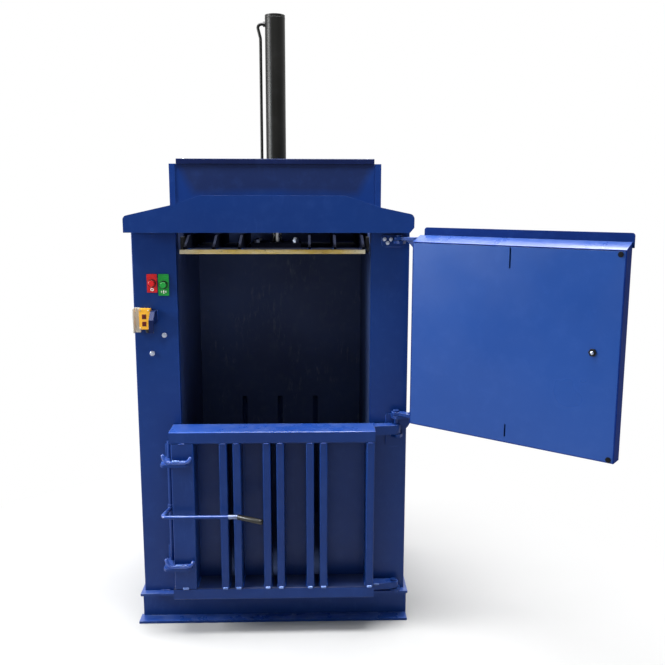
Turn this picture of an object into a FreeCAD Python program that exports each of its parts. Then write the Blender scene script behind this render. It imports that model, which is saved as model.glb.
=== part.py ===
"""Vertical recycling baler for cardboard: frame, ram, loading door, bale door, lock and controls.

Millimetres. X runs to the right, Y to the back, Z up. The origin is on the floor, midway between the
outer faces of the two columns, in the plane of their front faces. The loading door stands open.
"""
import FreeCAD
import Part
import math
import os

V = FreeCAD.Vector
UP = V(0, 0, 1)
BACK = V(0, 1, 0)
RIGHT = V(1, 0, 0)

# ---- driving dimensions -------------------------------------------------------------------------
COLUMN_X = 530.0            # outer face of each column
OPEN_LEFT = -362.0          # chamber, left and right inner faces
OPEN_RIGHT = 383.0
MID_X = (OPEN_LEFT + OPEN_RIGHT) / 2
DEPTH = 700.0               # column depth
BASE_TOP = 130.0
COLUMN_TOP = 1587.0
SHEET = 5.0                 # casing sheet
WALL = 6.0                  # chamber wall plate
WALL_FRONT = 35.0           # front edge of the side walls
CHAMBER_BACK = 620.0
FLOOR_TOP = 142.0

BASE_X = 543.0
BASE_FRONT = -30.0
BASE_WEB = 30.0
BASE_FLANGE = 10.0
BASE_LIP = 10.0             # the lower flange runs this much further at the left end

BEAM_FRONT = -56.0
BEAM_PLATE = 10.0
BEAM_FLANGE_BACK = 60.0
KNEE_Z = 1724.0

LOADER_ANGLE = 141.0        # the loading door as it stands
PIVOT = V(485, -28, 0)      # common hinge axis of both doors
PIN_R = 8.0
PIN_FIT = 0.05
EYE_R = 18.0

LEAF_LEFT = -372.0
LEAF_RIGHT = 410.0
LEAF_OUT = -60.0
LEAF_IN = -6.0
LEAF_BOTTOM = 858.0
LEAF_TOP = 1580.0
LEAF_PANEL_TOP = 1557.0
LEAF_SHEET = 4.0
SPINDLE_X = -283.0
SPINDLE_Z = 1220.0

GATE_LEFT = -391.5
GATE_RIGHT = 396.5
GATE_OUT = -120.0
GATE_IN = -4.0
GATE_PANEL = 8.0
TOP_RAIL = (789.0, 836.0)
BOTTOM_RAIL = (150.0, 197.0)
STRAP_X = (-162.0, 5.0, 172.0)
STRAP_SLOT = 22.0
RIB_WIDTH = 30.0

LOCK = V(-402, -60, 0)
LOCK_R = 9.0
CLAW_Z = (692.0, 270.0)
CLAW_THICK = 12.0
BEARING_THICK = 12.0
LEVER_Z = 512.0
LEVER_R = 7.0
LEVER_Y = -162.0

CYL_Y = 310.0
BARREL_R = 40.5
BORE_R = 33.0
ROD_R = 20.0
MOUNT_Z = 1620.0
MOUNT_THICK = 25.0
BARREL_TOP = 2425.0
CAP_TOP = 2437.0

PLATEN_Z = 1503.0
PLATEN_LEFT = -351.5
PLATEN_RIGHT = 372.5
PLATEN_FRONT = 35.0
PLATEN_BACK = 600.0
PLATEN_THICK = 12.0
FLANGE_Z = PLATEN_Z + PLATEN_THICK
FLANGE_THICK = 20.0

HOUSE_LEFT = -414.0
HOUSE_RIGHT = 436.0
HOUSE_FRONT = 200.0
HOUSE_BACK = 640.0
HOUSE_BOTTOM = 1675.0
HOUSE_TOP = 1850.0
LID = 20.0


os.makedirs("parts", exist_ok=True)


# ---- shape helpers ------------------------------------------------------------------------------
def box(x0, x1, y0, y1, z0, z1):
    return Part.makeBox(x1 - x0, y1 - y0, z1 - z0, V(x0, y0, z0))


def cylinder(radius, start, direction, length):
    return Part.makeCylinder(radius, length, start, direction)


def tube(outer, inner, start, direction, length):
    return cylinder(outer, start, direction, length).cut(cylinder(inner, start, direction, length))


def prism(points, direction):
    """Extrude a closed outline; a point that is a pair (through, end) makes an arc."""
    edges = []
    here = points[0]
    for item in list(points[1:]) + [points[0]]:
        if isinstance(item, tuple):
            edges.append(Part.Arc(here, item[0], item[1]).toShape())
            here = item[1]
        elif (item - here).Length > 1e-6:
            edges.append(Part.LineSegment(here, item).toShape())
            here = item
    return Part.Face(Part.Wire(edges)).extrude(direction)


def plan(points, z0, z1):
    return prism([V(x, y, z0) for x, y in points], V(0, 0, z1 - z0))


def side(points, x0, x1):
    return prism([V(x0, y, z) for y, z in points], V(x1 - x0, 0, 0))


def elevation(points, y0, y1):
    return prism([V(x, y0, z) for x, z in points], V(0, y1 - y0, 0))


def fused(shapes):
    whole = shapes[0].multiFuse(shapes[1:]) if len(shapes) > 1 else shapes[0]
    return whole.removeSplitter()


def rounded(shape, radius, direction, keep=None):
    """Fillet the straight edges that run along a direction, where keep(point) is true."""
    picked = []
    for edge in shape.Edges:
        if edge.Curve.TypeId != "Part::GeomLine":
            continue
        along = edge.tangentAt(edge.FirstParameter)
        if abs(along.dot(direction)) > 0.999 and (keep is None or keep(edge.CenterOfMass)):
            picked.append(edge)
    return shape.makeFillet(radius, picked) if picked else shape


def hex_prism(across, start, direction, length):
    """Hexagon bolt head with its flats across the given size."""
    corner = across / math.sqrt(3)
    axis = V(direction)
    axis.normalize()
    first = axis.cross(UP if abs(axis.z) < 0.9 else RIGHT)
    first.normalize()
    second = axis.cross(first)
    points = []
    for k in range(6):
        angle = math.radians(60 * k)
        points.append(start + first * (corner * math.cos(angle)) + second * (corner * math.sin(angle)))
    return prism(points, axis * length)


def bolt(across, shank_r, start, direction, shank, head):
    """Hex bolt: the head stands from start along direction, the shank runs back from start."""
    axis = V(direction)
    axis.normalize()
    return fused([hex_prism(across, start, axis, head), cylinder(shank_r, start - axis * shank, axis, shank)])


def bent_bar(points, radii, radius, cap=True):
    """Round bar along straight runs joined by tangent arcs at the inner points."""
    edges = []
    here = points[0]
    for k in range(1, len(points) - 1):
        before = (points[k] - points[k - 1]).normalize()
        after = (points[k + 1] - points[k]).normalize()
        turn = before.getAngle(after)
        reach = radii[k - 1] * math.tan(turn / 2)
        start = points[k] - before * reach
        end = points[k] + after * reach
        inward = (after - before).normalize()
        centre = points[k] + inward * (radii[k - 1] / math.cos(turn / 2))
        middle = centre - inward * radii[k - 1]
        edges.append(Part.LineSegment(here, start).toShape())
        edges.append(Part.Arc(start, middle, end).toShape())
        here = end
    edges.append(Part.LineSegment(here, points[-1]).toShape())
    path = Part.Wire(edges)
    first = (points[1] - points[0]).normalize()
    section = Part.Wire([Part.makeCircle(radius, points[0], first)])
    return path.makePipeShell([section], True, False)


def save(name, *solids):
    """Write one node; several solids stay separate in a compound."""
    shape = solids[0] if len(solids) == 1 else Part.makeCompound(list(solids))
    assert shape.isValid(), name
    assert len(shape.Solids) == len(solids), (name, len(shape.Solids), len(solids))
    shape.exportStep("parts/%s.step" % name)


def open_door(shape):
    """Turn a piece of the loading door from closed to where it stands."""
    turned = shape.copy()
    turned.rotate(PIVOT, UP, LOADER_ANGLE)
    return turned


# ---- base ---------------------------------------------------------------------------------------
def base_channel(left_end, right_end, mirror):
    """Front channel with its open side forward; the rear one is its mirror image."""
    web = box(left_end, right_end, BASE_WEB - BASE_FLANGE, BASE_WEB, 0, BASE_TOP)
    top = box(left_end, right_end, BASE_FRONT, BASE_WEB, BASE_TOP - BASE_FLANGE, BASE_TOP)
    bottom = box(left_end - (0 if mirror else BASE_LIP), right_end, BASE_FRONT, BASE_WEB, 0, BASE_FLANGE)
    channel = fused([web, top, bottom])
    if mirror:
        channel = channel.mirror(V(0, DEPTH / 2, 0), BACK)
    return channel


def side_channel(sign):
    y0 = BASE_WEB
    y1 = DEPTH - BASE_WEB
    outer = sign * BASE_X
    web = sign * (BASE_X - 50)
    inner = sign * (BASE_X - 60)
    low = min(outer, inner)
    high = max(outer, inner)
    parts = [box(low, high, y0, y1, 0, BASE_FLANGE), box(low, high, y0, y1, BASE_TOP - BASE_FLANGE, BASE_TOP)]
    parts.append(box(min(web, inner), max(web, inner), y0, y1, 0, BASE_TOP))
    return fused(parts)


save("base_channels", base_channel(-BASE_X, BASE_X, False), base_channel(-BASE_X, BASE_X, True),
     side_channel(-1), side_channel(1))
save("chamber_floor", box(OPEN_LEFT, OPEN_RIGHT, 0, CHAMBER_BACK + WALL, BASE_TOP, FLOOR_TOP))

# ---- columns and chamber ------------------------------------------------------------------------
BUTTONS = {"red": (-456.5, 1392.5), "green": (-412.5, 1386.5)}
BUTTON_HOLE_R = 6.3
COLUMN_BOLTS = [(-416.0, 1191.0), (-465.0, 1119.0)]


def casing(outer, inner):
    """Folded sheet: front face with an inner return, outer side, rear face."""
    sign = 1 if outer > 0 else -1
    sheet = sign * SHEET
    points = [(inner, WALL_FRONT), (inner, 0), (outer, 0), (outer, DEPTH), (inner, DEPTH)]
    points += [(inner, DEPTH - SHEET), (outer - sheet, DEPTH - SHEET), (outer - sheet, SHEET)]
    points += [(inner + sheet, SHEET), (inner + sheet, WALL_FRONT)]
    sheet_metal = plan(points, BASE_TOP, COLUMN_TOP)
    sheet_metal = rounded(sheet_metal, 3.0, UP, lambda p: abs(p.y) < 1 and abs(p.x - outer) < 1)
    low = min(inner + sheet, outer - sheet)
    high = max(inner + sheet, outer - sheet)
    closure = box(low, high, SHEET, DEPTH - SHEET, COLUMN_TOP - SHEET, COLUMN_TOP)
    wall_gap = box(inner - WALL, inner + WALL, WALL_FRONT, DEPTH - SHEET, COLUMN_TOP - SHEET, COLUMN_TOP)
    return fused([sheet_metal, closure.cut(wall_gap)])


left_casing = casing(-COLUMN_X, OPEN_LEFT)
for hole_x, hole_z in BUTTONS.values():
    left_casing = left_casing.cut(cylinder(BUTTON_HOLE_R, V(hole_x, -1, hole_z), BACK, SHEET + 2))
save("left_casing", left_casing)
save("right_casing", casing(COLUMN_X, OPEN_RIGHT))
save("chamber_side_walls",
     box(OPEN_LEFT - WALL, OPEN_LEFT, WALL_FRONT, CHAMBER_BACK + WALL, BASE_TOP, COLUMN_TOP),
     box(OPEN_RIGHT, OPEN_RIGHT + WALL, WALL_FRONT, CHAMBER_BACK + WALL, BASE_TOP, COLUMN_TOP))

back_wall = box(OPEN_LEFT, OPEN_RIGHT, CHAMBER_BACK, CHAMBER_BACK + WALL, FLOOR_TOP, COLUMN_TOP)
for strap_x in STRAP_X:
    half = STRAP_SLOT / 2
    back_wall = back_wall.cut(box(strap_x - half, strap_x + half, CHAMBER_BACK - 1, CHAMBER_BACK + WALL + 1,
                                  BOTTOM_RAIL[1], TOP_RAIL[0]))
save("chamber_back_wall", back_wall)


def strap_channel(x):
    """Folded channel behind a slot of the back wall; the strap is led up inside it."""
    half = STRAP_SLOT / 2 + RIB_WIDTH
    y0 = CHAMBER_BACK + WALL
    y1 = DEPTH - 10
    outer = box(x - half, x + half, y0, y1, FLOOR_TOP, COLUMN_TOP)
    return outer.cut(box(x - half + 4, x + half - 4, y0 - 1, y1 - 4, FLOOR_TOP - 1, COLUMN_TOP + 1))


save("strap_channels", *[strap_channel(x) for x in STRAP_X])


# ---- crossbeams over the columns ----------------------------------------------------------------
def bow_outline(y):
    """Bow-shaped plate: sharp lower left corner, small lower right chamfer, rounded shoulders."""
    return [V(-546, y, COLUMN_TOP), V(-546, y, 1634), (V(-543, y, 1644), V(-533, y, 1651)),
            V(-366, y, 1689), V(-257, y, KNEE_Z), V(282, y, KNEE_Z), V(413, y, 1681), V(522, y, 1658),
            (V(536, y, 1650), V(540, y, 1637)), V(540, y, 1606), V(524, y, COLUMN_TOP)]


def crossbeam(plate_y, flange_y0, flange_y1):
    plate = prism(bow_outline(plate_y), BACK * BEAM_PLATE)
    flange = box(-COLUMN_X, 520, flange_y0, flange_y1, COLUMN_TOP, COLUMN_TOP + BEAM_PLATE)
    return fused([plate, flange])


save("front_crossbeam", crossbeam(BEAM_FRONT, BEAM_FRONT + BEAM_PLATE, BEAM_FLANGE_BACK))
save("rear_crossbeam", crossbeam(DEPTH, DEPTH - 60, DEPTH))


def cylinder_beam(y0):
    """Rectangular tube from column to column that carries the cylinder."""
    outer = box(-455, 455, y0, y0 + 40, COLUMN_TOP, HOUSE_BOTTOM)
    return outer.cut(box(-456, 456, y0 + 5, y0 + 35, COLUMN_TOP + 5, HOUSE_BOTTOM - 5))


save("cylinder_beams", cylinder_beam(CYL_Y - 120), cylinder_beam(CYL_Y + 80))
mount_hole = cylinder(BARREL_R - 4, V(MID_X, CYL_Y, MOUNT_Z - 1), UP, MOUNT_THICK + 2)
save("cylinder_mount_plate",
     box(MID_X - 120, MID_X + 120, CYL_Y - 80, CYL_Y + 80, MOUNT_Z, MOUNT_Z + MOUNT_THICK).cut(mount_hole))

# ---- hydraulic cylinder -------------------------------------------------------------------------
CYL_BASE = MOUNT_Z + MOUNT_THICK
PORT_Z = 2403.0
PORT_R = 4.0
barrel = tube(BARREL_R, BORE_R, V(MID_X, CYL_Y, CYL_BASE), UP, BARREL_TOP - CYL_BASE)
barrel = barrel.cut(cylinder(PORT_R, V(MID_X, CYL_Y, PORT_Z), V(-1, 0, 0), BARREL_R + 5))
cap = cylinder(BARREL_R, V(MID_X, CYL_Y, BARREL_TOP), UP, CAP_TOP - BARREL_TOP)
save("cylinder_barrel", barrel, cap)
gland = tube(BARREL_R - 4, ROD_R + PIN_FIT, V(MID_X, CYL_Y, MOUNT_Z), UP, MOUNT_THICK)
gland_nose = tube(BARREL_R + 10, ROD_R + PIN_FIT, V(MID_X, CYL_Y, MOUNT_Z - 14), UP, 14)
save("cylinder_gland", fused([gland, gland_nose]))

# rigid pipe from the upper port down beside the barrel to the valve block
PIPE_R = 6.0
PIPE_X = -48.0
VALVE_TOP = 1765.0
pipe_points = [V(-36, CYL_Y, PORT_Z), V(-62, CYL_Y, PORT_Z), V(PIPE_X, CYL_Y, 2348),
               V(PIPE_X, CYL_Y, VALVE_TOP)]
pipe = bent_bar(pipe_points, [14.0, 60.0], PIPE_R)
port_nut = hex_prism(19, V(MID_X - BARREL_R + 1.5, CYL_Y, PORT_Z), V(-1, 0, 0), 9)
port_nut = port_nut.cut(cylinder(BARREL_R, V(MID_X, CYL_Y, PORT_Z - 30), UP, 60))
valve_nut = hex_prism(19, V(PIPE_X, CYL_Y, VALVE_TOP), UP, 12)
valve_nut = valve_nut.cut(cylinder(PIPE_R, V(PIPE_X, CYL_Y, VALVE_TOP - 1), UP, 14))
save("hydraulic_pipe", pipe, port_nut, valve_nut)

# ---- power pack under the housing ---------------------------------------------------------------
TRAY_TOP = HOUSE_BOTTOM + 6
tray = box(-385, 407, CYL_Y - 100, CYL_Y + 290, HOUSE_BOTTOM, TRAY_TOP)
tray = tray.cut(cylinder(BARREL_R + 3, V(MID_X, CYL_Y, HOUSE_BOTTOM - 1), UP, 8))
save("power_pack_tray", tray)
tank = rounded(box(-370, -110, 260, 560, TRAY_TOP, 1830), 12.0, UP)
filler = cylinder(18, V(-320, 510, 1830), UP, 10)
save("hydraulic_tank", fused([tank, filler]))
save("valve_block", box(-84, -34, 285, 335, TRAY_TOP, VALVE_TOP))
motor = cylinder(62, V(120, 440, TRAY_TOP + 72), RIGHT, 210)
motor_foot = box(150, 300, 390, 490, TRAY_TOP, TRAY_TOP + 30)
pump = cylinder(38, V(60, 440, TRAY_TOP + 72), RIGHT, 60)
terminal = box(180, 260, 400, 480, TRAY_TOP + 120, TRAY_TOP + 150)
save("pump_motor", fused([motor, motor_foot, pump, terminal]))


# ---- housing ------------------------------------------------------------------------------------
def housing_side(outer, inner_lip):
    """Side plate folded in at the front and at the back."""
    sheet = 4.0 if outer < 0 else -4.0
    points = [(inner_lip, HOUSE_FRONT), (outer, HOUSE_FRONT), (outer, HOUSE_BACK), (inner_lip, HOUSE_BACK),
              (inner_lip, HOUSE_BACK - 4), (outer + sheet, HOUSE_BACK - 4),
              (outer + sheet, HOUSE_FRONT + 4), (inner_lip, HOUSE_FRONT + 4)]
    return plan(points, HOUSE_BOTTOM, HOUSE_TOP)


save("housing_side_plates", housing_side(HOUSE_LEFT, -390), housing_side(HOUSE_RIGHT, 412))
save("housing_front_cover", box(-408, 430, HOUSE_FRONT + 4, HOUSE_FRONT + 7, HOUSE_BOTTOM, HOUSE_TOP))
rear_cover = box(-408, 430, HOUSE_BACK - 7, HOUSE_BACK - 4, HOUSE_BOTTOM, HOUSE_TOP)
for louvre_x in (-250, -130, 150, 270):
    for louvre in range(5):
        z0 = 1735 + louvre * 20
        rear_cover = rear_cover.cut(box(louvre_x - 45, louvre_x + 45, HOUSE_BACK - 8, HOUSE_BACK, z0, z0 + 7))
GLAND_X = 380.0
GLAND_Z = 1700.0
rear_cover = rear_cover.cut(cylinder(8, V(GLAND_X, HOUSE_BACK - 8, GLAND_Z), BACK, 6))
save("housing_rear_cover", rear_cover)
cable_gland = fused([cylinder(8, V(GLAND_X, HOUSE_BACK - 16, GLAND_Z), BACK, 14),
                     hex_prism(24, V(GLAND_X, HOUSE_BACK - 4, GLAND_Z), BACK, 8),
                     hex_prism(18, V(GLAND_X, HOUSE_BACK + 4, GLAND_Z), BACK, 10)])
save("cable_gland", cable_gland)
lid = box(-385, 408, HOUSE_FRONT - 2, HOUSE_BACK, HOUSE_TOP, HOUSE_TOP + LID)
lid = rounded(lid, 3.0, RIGHT, lambda p: p.z > HOUSE_TOP + LID - 1)
lid = lid.cut(cylinder(BARREL_R + 2, V(MID_X, CYL_Y, HOUSE_TOP - 1), UP, LID + 2))
lid = lid.cut(cylinder(PIPE_R + 3, V(PIPE_X, CYL_Y, HOUSE_TOP - 1), UP, LID + 2))
save("housing_top_plate", lid)

# ---- ram ----------------------------------------------------------------------------------------
rod = cylinder(ROD_R, V(MID_X, CYL_Y, FLANGE_Z + FLANGE_THICK), UP, 2380 - FLANGE_Z - FLANGE_THICK)
save("ram_rod", rod)
piston = cylinder(BORE_R - PIN_FIT, V(MID_X, CYL_Y, 2380), UP, 38)
save("ram_piston", piston)
rod_flange = box(MID_X - 100, MID_X + 100, CYL_Y - 100, CYL_Y + 100, FLANGE_Z, FLANGE_Z + FLANGE_THICK)
FLANGE_BOLTS = [(MID_X + dx, CYL_Y + dy) for dx in (-80, 80) for dy in (-80, 80)]
FLANGE_BOLT_R = 8.0
platen = box(PLATEN_LEFT, PLATEN_RIGHT, PLATEN_FRONT, PLATEN_BACK, PLATEN_Z, PLATEN_Z + PLATEN_THICK)
for bolt_x, bolt_y in FLANGE_BOLTS:
    shaft = cylinder(FLANGE_BOLT_R, V(bolt_x, bolt_y, PLATEN_Z - 1), UP, FLANGE_THICK + PLATEN_THICK + 2)
    rod_flange = rod_flange.cut(shaft)
    platen = platen.cut(shaft)
save("rod_flange", rod_flange)
save("platen_plate", platen)
flange_bolts = [bolt(24, FLANGE_BOLT_R, V(x, y, FLANGE_Z + FLANGE_THICK), UP,
                     FLANGE_THICK + PLATEN_THICK, 12) for x, y in FLANGE_BOLTS]
save("flange_bolts", *flange_bolts)
nose = box(PLATEN_LEFT, PLATEN_RIGHT - 11, 18, PLATEN_FRONT, PLATEN_Z, PLATEN_Z + 17)
save("platen_nose_bar", rounded(nose, 3.0, RIGHT, lambda p: p.y < 20))


def platen_rib(x0, top):
    """Plate on edge, front to back, with a tapered front end."""
    points = [(PLATEN_FRONT, FLANGE_Z), (PLATEN_BACK, FLANGE_Z), (PLATEN_BACK, top), (150, top),
              (PLATEN_FRONT + 12, FLANGE_Z + 14), (PLATEN_FRONT, FLANGE_Z + 14)]
    return side(points, x0, x0 + 10)


RIB_TOP = 1568.0
save("platen_ribs", *[platen_rib(x0, RIB_TOP) for x0 in (-340, -230, -130, 141, 241, 351)])
pads = []
for pad_y in (110, 520):
    pads.append(box(OPEN_LEFT + 0.5, PLATEN_LEFT, pad_y, pad_y + 60, PLATEN_Z, PLATEN_Z + 60))
    pads.append(box(PLATEN_RIGHT, OPEN_RIGHT - 0.5, pad_y, pad_y + 60, PLATEN_Z, PLATEN_Z + 60))
save("guide_pads", *pads)

# ---- controls on the left column ----------------------------------------------------------------
PLATE = 3.0
STEM_R = 6.0
TRAVEL = 4.0
CAP_R = 12.0
red_plate = box(-476, -437, -PLATE, 0, 1357, 1428)
green_plate = box(-433, -392, -PLATE, 0, 1345, 1428)
plates = {"red": red_plate, "green": green_plate}
button_plates = []
for colour, (x, z) in BUTTONS.items():
    hole = cylinder(BUTTON_HOLE_R, V(x, -PLATE - 1, z), BACK, PLATE + 2)
    button_plates.append(rounded(plates[colour].cut(hole), 3.0, BACK))
    cap_face = -PLATE - TRAVEL - 1
    head = cylinder(CAP_R, V(x, cap_face - 8, z), BACK, 8)
    head = head.makeChamfer(2.0, [e for e in head.Edges if e.CenterOfMass.y < cap_face - 7 and e.Closed])
    save("%s_button" % colour, fused([head, cylinder(STEM_R, V(x, cap_face, z), BACK, 40)]))
save("button_plates", *button_plates)

RECESS = 3.5
SWITCH = (-529.0, -463.0, 1219.0, 1297.0)
bracket = box(SWITCH[0], -505, -4, 0, SWITCH[2] - 16, SWITCH[3] + 2)
bracket = fused([bracket, box(SWITCH[0], SWITCH[0] + 4, -34, -4, SWITCH[2] - 16, SWITCH[3] + 2)])
save("interlock_bracket", bracket)
switch = rounded(box(-504, SWITCH[1], -34, 0, SWITCH[2], SWITCH[3]), 3.0, BACK)
for slot_z in (1268, 1240):
    switch = switch.cut(box(-492, -478, -35, -34 + RECESS, slot_z - 8, slot_z + 8))
save("interlock_switch", switch)
KEEPER_X = (-458.0, -440.0)
keeper_profile = [(0, 1243), (0, 1290), (-50, 1290), (-88, 1262), (-88, 1212), (-80, 1212), (-80, 1243)]
save("door_keeper", side(keeper_profile, KEEPER_X[0], KEEPER_X[1]))
column_bolts = [hex_prism(17, V(x, 0, z), V(0, -1, 0), 7) for x, z in COLUMN_BOLTS]

# ---- hinges on the right column -----------------------------------------------------------------
LUG = 12.0
HINGE_TOP = 1545.0
HINGE_MIDDLE = 861.0
HINGE_GATE_TOP = 786.0
HINGE_GATE_BOTTOM = 134.0


def lug_plate(z0, left, right):
    """Horizontal lug with a round nose about the pin hole."""
    points = [V(left, -8, z0), V(right, -8, z0), V(right, PIVOT.y, z0)]
    if right > PIVOT.x + EYE_R + 2:
        points += [V(right - 12, -46, z0), V(PIVOT.x, PIVOT.y - EYE_R - 2, z0)]
    else:
        reach = EYE_R + 2
        nose = V(PIVOT.x, PIVOT.y - reach, z0)
        points = [V(left, -8, z0), V(PIVOT.x + reach, -8, z0), V(PIVOT.x + reach, PIVOT.y, z0)]
        points += [(V(PIVOT.x + reach * math.sqrt(0.5), PIVOT.y - reach * math.sqrt(0.5), z0), nose)]
    points += [V(left + 10, -40, z0), V(left, -28, z0)]
    plate = prism(points, UP * LUG)
    return plate.cut(cylinder(PIN_R, V(PIVOT.x, PIVOT.y, z0 - 1), UP, LUG + 2))


def hinge_bracket(z0, back_z0, back_z1, left, right, curved=False):
    if curved:
        outline = [V(left, -8, back_z0), V(right - 22, -8, back_z0),
                   (V(right - 6, -8, back_z0 + 18), V(right, -8, back_z0 + 46)),
                   V(right, -8, back_z1), V(left, -8, back_z1)]
        back = prism(outline, BACK * 8)
    else:
        back = rounded(box(left, right, -8, 0, back_z0, back_z1), 6.0, BACK)
    return fused([back, lug_plate(z0, PIVOT.x - EYE_R - 1, right)])


save("hinge_brackets",
     hinge_bracket(HINGE_TOP, 1532, 1576, 424, 512),
     hinge_bracket(HINGE_MIDDLE, 809, HINGE_MIDDLE + LUG, 448, 545, True),
     hinge_bracket(HINGE_GATE_TOP, 740, HINGE_GATE_TOP + LUG, 448, 512),
     hinge_bracket(HINGE_GATE_BOTTOM, BASE_TOP, HINGE_GATE_BOTTOM + LUG, 448, 512))


def hinge_pin(z0, z1):
    pin = cylinder(PIN_R, V(PIVOT.x, PIVOT.y, z0), UP, z1 - z0)
    return fused([pin, cylinder(PIN_R + 4, V(PIVOT.x, PIVOT.y, z1), UP, 6)])


LOADER_EYES = (HINGE_TOP + LUG + 2, HINGE_MIDDLE + LUG + 2)
LOADER_EYE = 12.0
GATE_EYES = ((800.0, 836.0), (150.0, 176.0))
save("hinge_pins",
     hinge_pin(HINGE_TOP, LOADER_EYES[0] + LOADER_EYE + 1),
     hinge_pin(HINGE_GATE_TOP, LOADER_EYES[1] + LOADER_EYE + 1),
     hinge_pin(HINGE_GATE_BOTTOM, GATE_EYES[1][1] + 1))
HINGE_BOLTS = [(433.0, 1561.0), (445.0, 1547.0), (457.0, 1561.0)]
column_bolts += [hex_prism(13, V(x, -8, z), V(0, -1, 0), 7) for x, z in HINGE_BOLTS]
save("column_bolts", *column_bolts)

# ---- loading door, drawn closed and then turned -------------------------------------------------
outer = [(LEAF_OUT, LEAF_BOTTOM), (LEAF_OUT, LEAF_TOP), (LEAF_IN, LEAF_PANEL_TOP), (LEAF_IN, LEAF_BOTTOM)]
skin = side(outer, LEAF_LEFT, LEAF_RIGHT)
inside = [(LEAF_OUT + LEAF_SHEET, LEAF_BOTTOM + LEAF_SHEET), (LEAF_OUT + LEAF_SHEET, LEAF_TOP - 6),
          (LEAF_IN + 1, LEAF_PANEL_TOP - 4.8), (LEAF_IN + 1, LEAF_BOTTOM + LEAF_SHEET)]
skin = skin.cut(side(inside, LEAF_LEFT + LEAF_SHEET, LEAF_RIGHT - LEAF_SHEET))
SPINDLE_R = 10.0
skin = skin.cut(cylinder(SPINDLE_R + PIN_FIT, V(SPINDLE_X, LEAF_OUT - 1, SPINDLE_Z), BACK, 6))
save("loading_door_skin", open_door(skin))
PANEL_BACK = 4.0
panel = box(LEAF_LEFT + LEAF_SHEET, LEAF_RIGHT - LEAF_SHEET, LEAF_IN - PANEL_BACK, LEAF_IN,
            LEAF_BOTTOM + LEAF_SHEET, LEAF_PANEL_TOP - 5)
for slot_x, slot_z0, slot_z1 in ((19, 1478, 1548), (14, 880, 925)):
    panel = panel.cut(box(slot_x - 2.5, slot_x + 2.5, LEAF_IN - 10, LEAF_IN + 1, slot_z0, slot_z1))
panel = panel.cut(cylinder(SPINDLE_R + PIN_FIT, V(SPINDLE_X, LEAF_IN - 6, SPINDLE_Z), BACK, 8))
save("loading_door_panel", open_door(panel))

LIP_TOP = 1608.0
lip_outline = [V(LEAF_LEFT - 5, LEAF_OUT, LEAF_TOP - 20), V(392, LEAF_OUT, LEAF_TOP - 20),
               V(392, LEAF_OUT, LIP_TOP - 10), (V(389, LEAF_OUT, LIP_TOP - 3), V(382, LEAF_OUT, LIP_TOP)),
               V(LEAF_LEFT + 5, LEAF_OUT, LIP_TOP),
               (V(LEAF_LEFT - 2, LEAF_OUT, LIP_TOP - 3), V(LEAF_LEFT - 5, LEAF_OUT, LIP_TOP - 10))]
save("loading_door_lip", open_door(prism(lip_outline, V(0, -6, 0))))


ARM_BACK = -19.0


def loader_arm(z0, gusset):
    """Flat eye plate from the leaf edge to the pin, with a curved web below it."""
    points = [V(LEAF_RIGHT, LEAF_OUT + 4, z0), V(PIVOT.x, PIVOT.y - EYE_R, z0),
              (V(PIVOT.x + EYE_R, PIVOT.y, z0), V(PIVOT.x, PIVOT.y + EYE_R, z0)),
              V(PIVOT.x - EYE_R, ARM_BACK, z0), V(LEAF_RIGHT, ARM_BACK, z0)]
    plate = prism(points, UP * LOADER_EYE)
    web = [V(LEAF_RIGHT, -40, z0), V(LEAF_RIGHT, -40, z0 + gusset),
           (V(LEAF_RIGHT + 22, -40, z0 + gusset * 0.38), V(PIVOT.x - EYE_R - 6, -40, z0))]
    arm = fused([plate, prism(web, BACK * 8)])
    return arm.cut(cylinder(PIN_R + PIN_FIT, V(PIVOT.x, PIVOT.y, z0 - 60), UP, 120))


save("loading_door_arms", open_door(loader_arm(LOADER_EYES[0], -50)), open_door(loader_arm(LOADER_EYES[1], 40)))
BUFFER_R = 9.0
buffers = [cylinder(BUFFER_R, V(-354, LEAF_IN, z), BACK, 3) for z in (1542, 870)]
save("loading_door_buffers", *[open_door(b) for b in buffers])

# ---- handle of the loading door -----------------------------------------------------------------
spindle_at = V(SPINDLE_X, LEAF_OUT, SPINDLE_Z)
BOSS_GAP = 1.0
boss = cylinder(18, V(SPINDLE_X, LEAF_OUT - BOSS_GAP - 24, SPINDLE_Z), BACK, 12)
spindle = cylinder(SPINDLE_R, V(SPINDLE_X, LEAF_OUT - BOSS_GAP - 12, SPINDLE_Z), BACK,
                   BOSS_GAP + 12 + LEAF_IN - LEAF_OUT)
handle_y = LEAF_OUT - BOSS_GAP - 24
handle_bar = elevation([(SPINDLE_X - 16, SPINDLE_Z), (SPINDLE_X - 11, SPINDLE_Z - 150),
                        (SPINDLE_X + 11, SPINDLE_Z - 150), (SPINDLE_X + 16, SPINDLE_Z)], handle_y, handle_y + 10)
knob = cylinder(14.0, V(SPINDLE_X, handle_y, SPINDLE_Z - 134), V(0, -1, 0), 70)
save("door_handle", open_door(fused([boss, spindle, handle_bar, knob])))
TONGUE = 12.0
tongue_outline = [V(SPINDLE_X - 18, LEAF_OUT - BOSS_GAP, SPINDLE_Z), V(SPINDLE_X - 13, LEAF_OUT - BOSS_GAP, 1045),
                  (V(SPINDLE_X, LEAF_OUT - BOSS_GAP, 1032), V(SPINDLE_X + 13, LEAF_OUT - BOSS_GAP, 1045)),
                  V(SPINDLE_X + 18, LEAF_OUT - BOSS_GAP, SPINDLE_Z),
                  (V(SPINDLE_X, LEAF_OUT - BOSS_GAP, SPINDLE_Z + 18),
                   V(SPINDLE_X - 18, LEAF_OUT - BOSS_GAP, SPINDLE_Z))]
tongue = prism(tongue_outline, V(0, -TONGUE, 0))
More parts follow.
